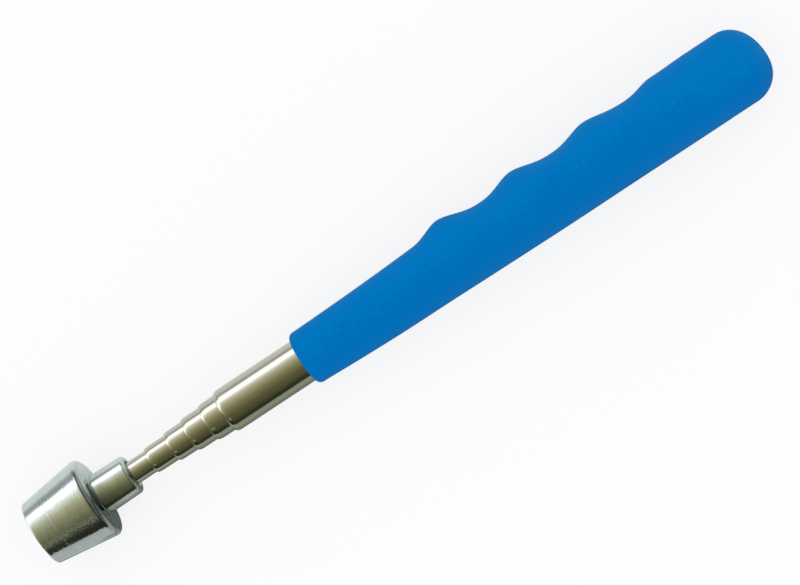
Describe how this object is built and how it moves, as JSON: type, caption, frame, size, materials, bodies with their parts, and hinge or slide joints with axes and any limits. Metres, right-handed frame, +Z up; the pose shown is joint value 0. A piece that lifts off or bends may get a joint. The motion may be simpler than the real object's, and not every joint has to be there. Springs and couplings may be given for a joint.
{
  "type": "magnetic pickup tool",
  "caption": "Telescopic magnetic pickup tool with a conical magnet head, stepped sliding tubes and a soft grip with finger grooves.",
  "frame": {"origin": "on the surface the closed tool lies on, under the centre of its bounding box", "axes": "+X along the tube axis from the magnet head towards the grip's domed end; +Y towards the finger grooves; +Z up from the surface it lies on"},
  "size_m": [0.194, 0.0196, 0.0193],
  "materials": {
    "grip_vinyl": "matte soft moulded vinyl",
    "tube_nickel": "satin warm nickel plate",
    "head_chrome": "bright chrome plate over turning marks",
    "pole_iron": "ground nickel plated iron",
    "magnet_nickel": "nickel plated",
    "brass": "turned",
    "spring_bronze": "rolled phosphor bronze strip",
    "stud_steel": "turned"
  },
  "bodies": {
    "handle": {"grip": "grip_vinyl", "outer_tube": "tube_nickel", "outer_tube_plug": "brass"},
    "spring_2": {"friction_spring_2": "spring_bronze"},
    "section_2": {"section_tube_2": "tube_nickel", "base_bush_2": "brass"},
    "spring_3": {"friction_spring_3": "spring_bronze"},
    "section_3": {"section_tube_3": "tube_nickel", "base_bush_3": "brass"},
    "spring_4": {"friction_spring_4": "spring_bronze"},
    "section_4": {"section_tube_4": "tube_nickel", "base_bush_4": "brass"},
    "spring_5": {"friction_spring_5": "spring_bronze"},
    "section_5": {"section_tube_5": "tube_nickel", "base_bush_5": "brass"},
    "spring_6": {"friction_spring_6": "spring_bronze"},
    "section_6": {"section_tube_6": "tube_nickel", "base_bush_6": "brass", "rod_stud": "stud_steel", "head_shell": "head_chrome", "pole_cup": "pole_iron", "spacer_ring": "brass", "magnet": "magnet_nickel"}
  },
  "joints": [
    {"name": "tube_2_slide", "type": "slide", "parent": "handle", "child": "spring_2", "axis": [-1, 0, 0], "range_m": [0, 0.122]},
    {"name": "tube_2_spin", "type": "hinge", "parent": "spring_2", "child": "section_2", "pos_m": [0, -0.00018, 0.00965], "axis": [1, 0, 0], "continuous": true},
    {"name": "tube_3_slide", "type": "slide", "parent": "section_2", "child": "spring_3", "axis": [-1, 0, 0], "range_m": [0, 0.1142]},
    {"name": "tube_3_spin", "type": "hinge", "parent": "spring_3", "child": "section_3", "pos_m": [0, -0.00018, 0.00965], "axis": [1, 0, 0], "continuous": true},
    {"name": "tube_4_slide", "type": "slide", "parent": "section_3", "child": "spring_4", "axis": [-1, 0, 0], "range_m": [0, 0.1068]},
    {"name": "tube_4_spin", "type": "hinge", "parent": "spring_4", "child": "section_4", "pos_m": [0, -0.00018, 0.00965], "axis": [1, 0, 0], "continuous": true},
    {"name": "tube_5_slide", "type": "slide", "parent": "section_4", "child": "spring_5", "axis": [-1, 0, 0], "range_m": [0, 0.0994]},
    {"name": "tube_5_spin", "type": "hinge", "parent": "spring_5", "child": "section_5", "pos_m": [0, -0.00018, 0.00965], "axis": [1, 0, 0], "continuous": true},
    {"name": "tube_6_slide", "type": "slide", "parent": "section_5", "child": "spring_6", "axis": [-1, 0, 0], "range_m": [0, 0.0927]},
    {"name": "tube_6_spin", "type": "hinge", "parent": "spring_6", "child": "section_6", "pos_m": [0, -0.00018, 0.00965], "axis": [1, 0, 0], "continuous": true}
  ]
}
